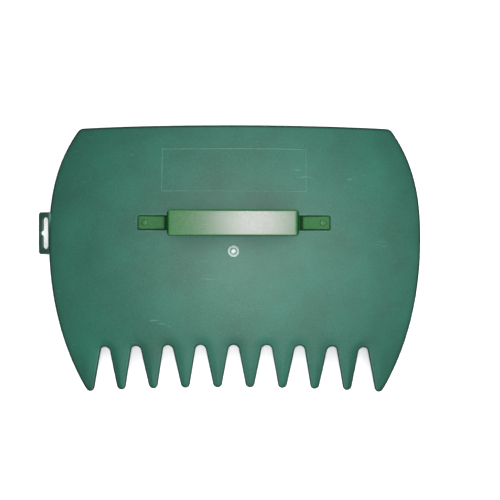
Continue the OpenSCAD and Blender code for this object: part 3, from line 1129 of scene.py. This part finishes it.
@dataclass
class Wiring:
    """A node tree that is wired up node by node."""

    tree: bpy.types.NodeTree

    def fill(self, node: bpy.types.Node, inputs: dict[str | int, object]) -> None:
        """Links a node's inputs to sockets, or sets them to plain values."""
        for name, value in inputs.items():
            if isinstance(value, bpy.types.NodeSocket):
                self.tree.links.new(value, node.inputs[name])
            else:
                node.inputs[name].default_value = value

    def add(self, kind: str, inputs: dict[str | int, object] | None = None, **settings: object
            ) -> bpy.types.Node:
        """Adds a node, sets its own properties and fills its inputs."""
        node = self.tree.nodes.new(kind)
        for name, value in settings.items():
            setattr(node, name, value)
        self.fill(node, inputs or {})
        return node

    def group(self, tree: bpy.types.NodeTree, **inputs: object) -> bpy.types.bpy_prop_collection:
        """Adds a node group, fills its inputs and returns its outputs."""
        return self.add("ShaderNodeGroup", inputs, node_tree=tree).outputs

    def place(self) -> bpy.types.NodeSocket:
        """Returns the shaded point's place in its object's own axes."""
        return self.add("ShaderNodeTexCoord").outputs["Object"]

    def noise(self, where: bpy.types.NodeSocket, scale: float, detail: float, rough: float
              ) -> bpy.types.NodeSocket:
        """Adds a noise texture and returns its grey output."""
        inputs = {"Vector": where, "Scale": scale, "Detail": detail, "Roughness": rough}
        return self.add("ShaderNodeTexNoise", inputs).outputs["Fac"]

    def scale(self, value: bpy.types.NodeSocket, low: object, high: object, to_low: float,
              to_high: float, **settings: object) -> bpy.types.NodeSocket:
        """Maps a value from one range to another and keeps it there."""
        inputs = {"Value": value, "From Min": low, "From Max": high, "To Min": to_low,
                  "To Max": to_high}
        return self.add("ShaderNodeMapRange", inputs, clamp=True, **settings).outputs["Result"]

    def maths(self, operation: str, a: object, b: object) -> bpy.types.NodeSocket:
        """Adds a maths node over two sockets or numbers."""
        return self.add("ShaderNodeMath", {0: a, 1: b}, operation=operation).outputs[0]

    def times(self, a: object, b: object) -> bpy.types.NodeSocket:
        """Multiplies two sockets or numbers."""
        return self.maths("MULTIPLY", a, b)

    def mix(self, factor: object, a: object, b: object) -> bpy.types.NodeSocket:
        """Mixes two colours, given as sockets or as colours."""
        return self.add("ShaderNodeMix", {0: factor, 6: a, 7: b}, data_type="RGBA").outputs[2]


def new_group(name: str, inputs: dict[str, float], outputs: list[str]
              ) -> tuple[Wiring, bpy.types.bpy_prop_collection, bpy.types.Node]:
    """Starts a node group with number inputs and outputs.

    Args:
        name: The group's name.
        inputs: Each number input with its default value.
        outputs: The names of the number outputs.

    Returns:
        The group's wiring, the sockets that it is given and its output node.
    """
    tree = bpy.data.node_groups.new(name, "ShaderNodeTree")
    for label, value in inputs.items():
        socket = tree.interface.new_socket(label, in_out="INPUT", socket_type="NodeSocketFloat")
        socket.default_value = value
    for label in outputs:
        tree.interface.new_socket(label, in_out="OUTPUT", socket_type="NodeSocketFloat")
    wiring = Wiring(tree)
    return wiring, wiring.add("NodeGroupInput").outputs, wiring.add("NodeGroupOutput")


def moulded_grain() -> bpy.types.NodeTree:
    """Makes the group for a spark-eroded mould's fine leather-like grain."""
    work, given, out = new_group("moulded_grain", {"Size": 1.0, "Depth": 1.0}, ["Height", "Fleck"])
    inputs = {0: work.place(), "Scale": given["Size"]}
    sized = work.add("ShaderNodeVectorMath", inputs, operation="SCALE").outputs[0]
    fine = work.noise(sized, 1900.0, 2.0, 0.55)
    broad = work.noise(sized, 620.0, 3.0, 0.6)
    both = work.maths("ADD", work.times(fine, 0.6), work.times(broad, 0.6))
    fleck = work.scale(fine, 0.35, 0.7, 0.0, 1.0)
    work.fill(out, {"Height": work.times(both, given["Depth"]), "Fleck": fleck})
    return work.tree


def handling_marks() -> bpy.types.NodeTree:
    """Makes the group for faint rubs and scratches that handling leaves."""
    work, given, out = new_group("handling_marks", {"Amount": 1.0}, ["Rub", "Scratch"])
    where = work.place()
    rub = work.scale(work.noise(where, 14.0, 5.0, 0.62), 0.48, 0.72, 0.0, 1.0)
    inputs = {"Vector": where, "Rotation": (0.2, 0.1, 0.7), "Scale": (28.0, 420.0, 160.0)}
    stretched = work.add("ShaderNodeMapping", inputs).outputs[0]
    lines = work.scale(work.noise(stretched, 1.0, 2.0, 0.5), 0.66, 0.72, 0.0, 1.0)
    patch = work.scale(work.noise(where, 30.0, 1.0, 0.5), 0.56, 0.66, 0.0, 1.0)
    scratch = work.times(work.times(lines, patch), given["Amount"])
    work.fill(out, {"Rub": work.times(rub, given["Amount"]), "Scratch": scratch})
    return work.tree


def edge_wear_and_highlight() -> bpy.types.NodeTree:
    """Makes the group for edges painted paler than the faces beside them: partly rubbed wear,
    partly painted highlight on rounded edges.
    """
    work, given, out = new_group("edge_wear_and_highlight", {"Amount": 1.0}, ["Mask"])
    point = work.add("ShaderNodeNewGeometry").outputs["Pointiness"]
    edge = work.scale(point, 0.515, 0.60, 0.0, 1.0)
    broken = work.scale(work.noise(work.place(), 160.0, 4.0, 0.6), 0.3, 0.7, 0.25, 1.0)
    work.fill(out, {"Mask": work.times(work.times(edge, broken), given["Amount"])})
    return work.tree


def painted_steep_shade() -> bpy.types.NodeTree:
    """Makes the group for painted shade: the steep side faces are painted darker, where light falls
    off them.

    A face counts in full where its normal rises less than Steep, and not at all over Flat.
    """
    inputs = {"Amount": 1.0, "Steep": 0.4, "Flat": 0.72}
    work, given, out = new_group("painted_steep_shade", inputs, ["Mask"])
    normal = work.add("ShaderNodeNewGeometry").outputs["Normal"]
    upright = work.add("ShaderNodeSeparateXYZ", {0: normal}).outputs["Z"]
    rise = work.maths("ABSOLUTE", upright, 0.0)
    steep = work.scale(rise, given["Flat"], given["Steep"], 0.0, 1.0)
    work.fill(out, {"Mask": work.times(steep, given["Amount"])})
    return work.tree


def painted_gate_highlight() -> bpy.types.NodeTree:
    """Makes the group for the painted highlight on the ring and nub that the moulding gate leaves.
    """
    inputs = {"X": 0.0, "Y": 0.0, "Z": 0.0, "Radius": 0.005}
    work, given, out = new_group("painted_gate_highlight", inputs, ["Mask"])
    where = work.place()
    centre = work.add("ShaderNodeCombineXYZ", {label: given[label] for label in "XYZ"}).outputs[0]
    away = work.add("ShaderNodeVectorMath", {0: where, 1: centre}, operation="DISTANCE")
    share = work.maths("DIVIDE", away.outputs["Value"], given["Radius"])
    ring = work.times(work.scale(share, 0.92, 1.02, 1.0, 0.0),
                      work.scale(share, 0.64, 0.76, 0.0, 1.0))
    nub = work.scale(share, 0.26, 0.42, 1.0, 0.3)
    middle = work.times(nub, work.scale(share, 0.62, 0.74, 1.0, 0.0))
    uneven = work.scale(work.noise(where, 420.0, 2.0, 0.5), 0.3, 0.6, 0.6, 1.0)
    work.fill(out, {"Mask": work.times(work.maths("MAXIMUM", ring, middle), uneven)})
    return work.tree


def painted_tab_shade() -> bpy.types.NodeTree:
    """Makes the group for painted shade on the hanging tab, which is left of Edge and is painted
    darker where shade falls on it.
    """
    work, given, out = new_group("painted_tab_shade", {"Edge": 0.0}, ["Mask"])
    across = work.add("ShaderNodeSeparateXYZ", {0: work.place()}).outputs["X"]
    beyond = work.maths("SUBTRACT", given["Edge"], across)
    work.fill(out, {"Mask": work.scale(beyond, -0.0002, 0.0006, 0.0, 0.8)})
    return work.tree


@dataclass
class Effects:
    """The shader groups that more than one finish uses."""

    grain: bpy.types.NodeTree = field(default_factory=moulded_grain)
    marks: bpy.types.NodeTree = field(default_factory=handling_marks)
    # Edge wear, with painted highlight on rounded edges.
    wear_and_highlight: bpy.types.NodeTree = field(default_factory=edge_wear_and_highlight)
    # Painted shade on steep faces.
    sides: bpy.types.NodeTree = field(default_factory=painted_steep_shade)
    # Painted highlight on the gate ring.
    gate: bpy.types.NodeTree = field(default_factory=painted_gate_highlight)
    # Painted shade on the hanging tab.
    tab: bpy.types.NodeTree = field(default_factory=painted_tab_shade)


@dataclass(frozen=True)
class MouldedPlastic:
    """A moulded polypropylene with its own colours, gloss and grain, plus painted shade and
    highlights mixed into its colour.
    """

    name: str
    base: Colour
    deep: Colour
    pale: Colour
    roughness: tuple[float, float]
    grain_depth: float
    grain_size: float
    bump_distance: float
    marks: float
    wear_and_highlight: float
    specular: float = 0.5
    tint: Colour = (1.0, 1.0, 1.0, 1.0)
    # The next three set the painted shade: its colour (also used on the hanging tab), its strength,
    # and the normal rises over which steep faces darken.
    side: Colour = (0.002, 0.02, 0.012, 1.0)
    steep_shade_amount: float = 0.9
    steep_shade_rise: tuple[float, float] = (0.5, 0.8)

    def make(
        self, effects: Effects, gate: Vector | None = None, tab_edge: float = 0.0
    ) -> bpy.types.Material:
        """Builds the material.

        Args:
            effects: The shared shader groups.
            gate: Where the moulding gate's ring is, for a piece that shows one.
            tab_edge: The X where such a piece's hanging tab begins.

        Returns:
            The material, ready to assign.
        """
        material = bpy.data.materials.new(self.name)
        material.use_nodes = True
        work = Wiring(material.node_tree)
        shader = material.node_tree.nodes["Principled BSDF"]
        grain = work.group(effects.grain, Size=self.grain_size, Depth=self.grain_depth)
        marks = work.group(effects.marks, Amount=self.marks)
        wear_and_highlight = work.group(effects.wear_and_highlight, Amount=self.wear_and_highlight)
        cloud = work.scale(work.noise(work.place(), 22.0, 4.0, 0.55), 0.3, 0.7, 0.0, 1.0)
        colour = work.mix(cloud, self.base, self.deep)
        fleck, scratch = work.times(grain["Fleck"], 0.18), work.times(marks["Scratch"], 0.3)
        # Grain flecks and scratches are the plastic's own; the edge mask is partly wear and partly
        # painted highlight.
        for mask in (fleck, scratch, wear_and_highlight["Mask"]):
            colour = work.mix(mask, colour, self.pale)
        if gate is not None:
            # Painted highlight: the gate's ring and nub are mixed towards a pale grey-green.
            gate_highlight = work.group(effects.gate, X=gate.x, Y=gate.y, Z=gate.z)
            colour = work.mix(gate_highlight["Mask"], colour, (0.51, 0.6, 0.55, 1.0))
            # Painted shade: the hanging tab is mixed towards the side colour.
            tab = work.group(effects.tab, Edge=tab_edge)
            colour = work.mix(tab["Mask"], colour, self.side)
        # Painted shade: steep faces are mixed towards the side colour, darker where light falls off
        # them.
        steep, flat = self.steep_shade_rise
        side = work.group(effects.sides, Amount=self.steep_shade_amount, Steep=steep, Flat=flat)
        gloss = work.scale(marks["Rub"], 0.0, 1.0, *self.roughness)
        relief = {"Strength": 0.6, "Distance": self.bump_distance, "Height": grain["Height"]}
        work.fill(shader, {
            "Base Color": work.mix(side["Mask"], colour, self.side),
            "Roughness": work.maths("ADD", gloss, work.times(grain["Fleck"], 0.04)),
            "Specular IOR Level": self.specular,
            "Specular Tint": self.tint,
            "Normal": work.add("ShaderNodeBump", relief).outputs["Normal"],
        })
        return material


BLADE_PLASTIC = MouldedPlastic(
    name="blade_plastic",
    base=linear(8, 79, 63),
    deep=linear(4, 62, 48),
    pale=linear(112, 154, 137),
    roughness=(0.49, 0.56),
    grain_depth=1.0,
    grain_size=1.0,
    bump_distance=0.00014,
    marks=0.8,
    # Edge wear and painted highlight on the rims, pocket edges and panel line.
    wear_and_highlight=1.1,
    specular=0.39,
    # Painted shade: the dish darkens towards its sloping edges and corners.
    steep_shade_rise=(0.6, 0.86),
)
STRAP_PLASTIC = MouldedPlastic(
    name="strap_plastic",
    base=linear(11, 82, 33),
    deep=linear(7, 77, 28),
    pale=linear(84, 140, 82),
    roughness=(0.165, 0.2),
    grain_depth=0.5,
    grain_size=0.6,
    bump_distance=0.00004,
    marks=0.5,
    wear_and_highlight=0.12,
    specular=0.14,
    tint=(1.0, 0.76, 0.95, 1.0),
    # Painted shade: the strap's rolled and turned-down edges are painted dark.
    side=(0.004, 0.03, 0.008, 1.0),
    steep_shade_rise=(0.9, 0.998),
)
PEG_PLASTIC = MouldedPlastic(
    name="peg_plastic",
    base=linear(26, 78, 38),
    deep=linear(22, 72, 32),
    pale=linear(84, 130, 82),
    roughness=(0.34, 0.42),
    grain_depth=0.4,
    grain_size=0.8,
    bump_distance=0.00004,
    marks=0.4,
    wear_and_highlight=0.2,
    specular=0.2,
    # Painted shade on the peg's steep sides, weaker.
    steep_shade_amount=0.4,
)


def dress(piece: bpy.types.Object, finish: bpy.types.Material) -> None:
    """Gives a piece one finish all over."""
    piece.data.materials.clear()
    piece.data.materials.append(finish)


# ---------------------------------------------------------------------------------------------
# Studio
# ---------------------------------------------------------------------------------------------


@dataclass(frozen=True)
class SoftLight:
    """A round lamp that looks straight at a point."""

    name: str
    place: tuple[float, float, float]
    target: tuple[float, float, float]
    size: float
    radiance: float

    def build(self) -> bpy.types.Object:
        """Adds the lamp. Its power follows from its size and how bright its face looks."""
        data = bpy.data.lights.new(self.name, "AREA")
        data.shape = "DISK"
        data.size = self.size
        area = math.pi * (self.size / 2) ** 2
        data.energy = self.radiance * area * math.pi
        lamp = bpy.data.objects.new(self.name, data)
        bpy.context.scene.collection.objects.link(lamp)
        lamp.location = self.place
        way = Vector(self.target) - Vector(self.place)
        lamp.rotation_euler = way.to_track_quat("-Z", "Y").to_euler()
        return lamp


@dataclass(frozen=True)
class SoftSky:
    """Light from all round: bright overhead and fading towards the walls and the floor."""

    axis: tuple[float, float, float]
    bright: float
    dim: float
    inner: float
    outer: float
    colour: Colour = (0.97, 0.985, 1.0, 1.0)

    def build(self) -> None:
        """Makes the world."""
        world = bpy.data.worlds.new("studio_sky")
        world.use_nodes = True
        work = Wiring(world.node_tree)
        around = work.add("ShaderNodeTexCoord").outputs["Generated"]
        inputs = {0: around, 1: Vector(self.axis).normalized()}
        way = work.add("ShaderNodeVectorMath", inputs, operation="DOT_PRODUCT").outputs["Value"]
        fade = work.scale(way, math.cos(self.outer), math.cos(self.inner), self.dim, self.bright,
                          interpolation_type="SMOOTHSTEP")
        backdrop = world.node_tree.nodes["Background"]
        work.fill(backdrop, {"Color": self.colour, "Strength": fade})
        bpy.context.scene.world = world


@dataclass(frozen=True)
class Studio:
    """The floor, the lamps, the sky and the camera."""

    lights: tuple[SoftLight, ...]
    sky: SoftSky
    eye: tuple[float, float, float] = (23.0 * MM, 35.0 * MM, 1071.5 * MM)
    aim: tuple[float, float, float] = (19.56 * MM, 10.18 * MM, 18 * MM)
    focal: float = 82.5
    floor_size: float = 40.0
    roll: float = math.radians(0.12)

    def _floor(self) -> None:
        """Lays a large pale floor under the hand. It throws no light back up at the rim."""
        floor = new_grid("studio_floor", 4, 4, self.floor_size)
        material = bpy.data.materials.new("studio_floor")
        material.use_nodes = True
        pale = {"Base Color": (0.96, 0.96, 0.96, 1.0), "Roughness": 0.9, "Specular IOR Level": 0.1}
        Wiring(material.node_tree).fill(material.node_tree.nodes["Principled BSDF"], pale)
        dress(floor, material)
        floor.visible_diffuse = False
        floor.visible_glossy = False

    def _camera(self) -> None:
        """Puts the camera over the hand, almost straight above it."""
        data = bpy.data.cameras.new("camera")
        data.sensor_width = 36.0
        data.lens = self.focal
        camera = bpy.data.objects.new("camera", data)
        bpy.context.scene.collection.objects.link(camera)
        eye, aim = Vector(self.eye), Vector(self.aim)
        back = (eye - aim).normalized()
        right = Vector((0, 1, 0)).cross(back).normalized()
        up = back.cross(right)
        turned_right = right * math.cos(self.roll) + up * math.sin(self.roll)
        turned_up = up * math.cos(self.roll) - right * math.sin(self.roll)
        axes = Matrix((turned_right, turned_up, back)).transposed()
        camera.matrix_world = Matrix.Translation(eye) @ axes.to_4x4()
        bpy.context.scene.camera = camera

    def build(self) -> None:
        """Sets up the whole studio."""
        self._floor()
        self.sky.build()
        for light in self.lights:
            light.build()
        self._camera()
        bpy.context.scene.view_settings.view_transform = "Standard"


STUDIO = Studio(
    lights=(SoftLight("key", (0.024, 0.04, 1.15), (0.024, 0.04, 0.0), 0.12, 123.0),),
    sky=SoftSky((0.17, 0.0, 1.0), 3.9, 0.12, math.radians(22), math.radians(56)),
)


# ---------------------------------------------------------------------------------------------
# The whole hand
# ---------------------------------------------------------------------------------------------


@dataclass
class Hand:
    """The hand's three kinds of piece, set out from the frame's boxes."""

    outline: Outline = field(default_factory=Outline)
    bar_rise: float = 35 * MM
    dish_y: float = 2 * MM
    bar_half: float = 55.9 * MM
    peg_x: float = 79 * MM
    foot_depth: float = 3.8 * MM
    end_slack: float = 0.6 * MM
    gate: Vector | None = field(default=None, init=False)
    tab_edge: float = field(default=0.0, init=False)

    def _peg_place(self, side: int, middle: np.ndarray, top: float, away: float) -> Matrix:
        """Returns a peg's place, upright on the foot's upper side."""
        turn = Matrix.Rotation(side * FOOT_TILT, 4, "Y")
        drop = (self.peg_x - away) * math.tan(FOOT_TILT)
        spot = Vector((middle[0] + side * self.peg_x, middle[1], top - drop))
        return Matrix.Translation(spot) @ turn

    def build(self) -> list[tuple[bpy.types.Object, str, str]]:
        """Builds every piece at its place in the frame.

        Returns:
            Each piece with the node it stands for and its material slot.
        """
        blade_low, blade_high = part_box("blade")
        strap_low, strap_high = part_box("grip_strap")
        centre = np.array([blade_high[0] - self.outline.half_width,
                           blade_high[1] - self.outline.wrist_y])
        strap_y = (strap_low[1] + strap_high[1]) / 2
        apex = strap_high[2] - self.bar_rise
        dish = Dish((centre[0], centre[1] + self.dish_y, apex - Dish.radius))
        away = POCKET_END - StrapPocket.length / 2 * math.cos(FOOT_TILT)
        middle = np.array([centre[0], strap_y])
        pocket_middle = middle + np.array([away, 0.0])
        top = dish.height(pocket_middle[None])[0] - self.foot_depth / math.cos(FOOT_TILT)
        places = [self._peg_place(side, middle, top, away) for side in (-1, 1)]
        blade = Blade(self.outline, dish, centre, strap_y, places)
        foot_end = POCKET_END - self.end_slack
        path = StrapPath(self.bar_half, strap_high[2], (away, top), foot_end)
        strap = GripStrap(middle, path, self.peg_x)
        gate_middle = centre + np.array([0.0, blade.gate_y])
        self.gate = Vector((*gate_middle, dish.height(gate_middle[None])[0]))
        self.tab_edge = float(centre[0]) - self.outline.half_width
        pieces = [(blade.build(), "blade", "blade_plastic"),
                  (strap.build(), "grip_strap", "strap_plastic")]
        for place, word in zip(places, ("left", "right")):
            peg = SnapPeg(place, f"{word}_snap_peg")
            pieces.append((peg.build(), f"{word}_strap_peg", "peg_plastic"))
        return pieces


def main() -> None:
    """Builds the hand and the studio, dresses every piece and reports it."""
    logging.basicConfig(level=logging.INFO, format="%(name)s: %(message)s")
    effects = Effects()
    hand = Hand()
    pieces = hand.build()
    finishes = {plastic.name: plastic.make(effects) for plastic in (STRAP_PLASTIC, PEG_PLASTIC)}
    finishes[BLADE_PLASTIC.name] = BLADE_PLASTIC.make(effects, hand.gate, hand.tab_edge)
    for piece, node, slot in pieces:
        dress(piece, finishes[slot])
        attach(piece, BODY)
        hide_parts(node)
        LOG.info("%s: %d faces, for %s", piece.name, len(piece.data.polygons), node)
    STUDIO.build()


if __name__ == "__main__":
    main()
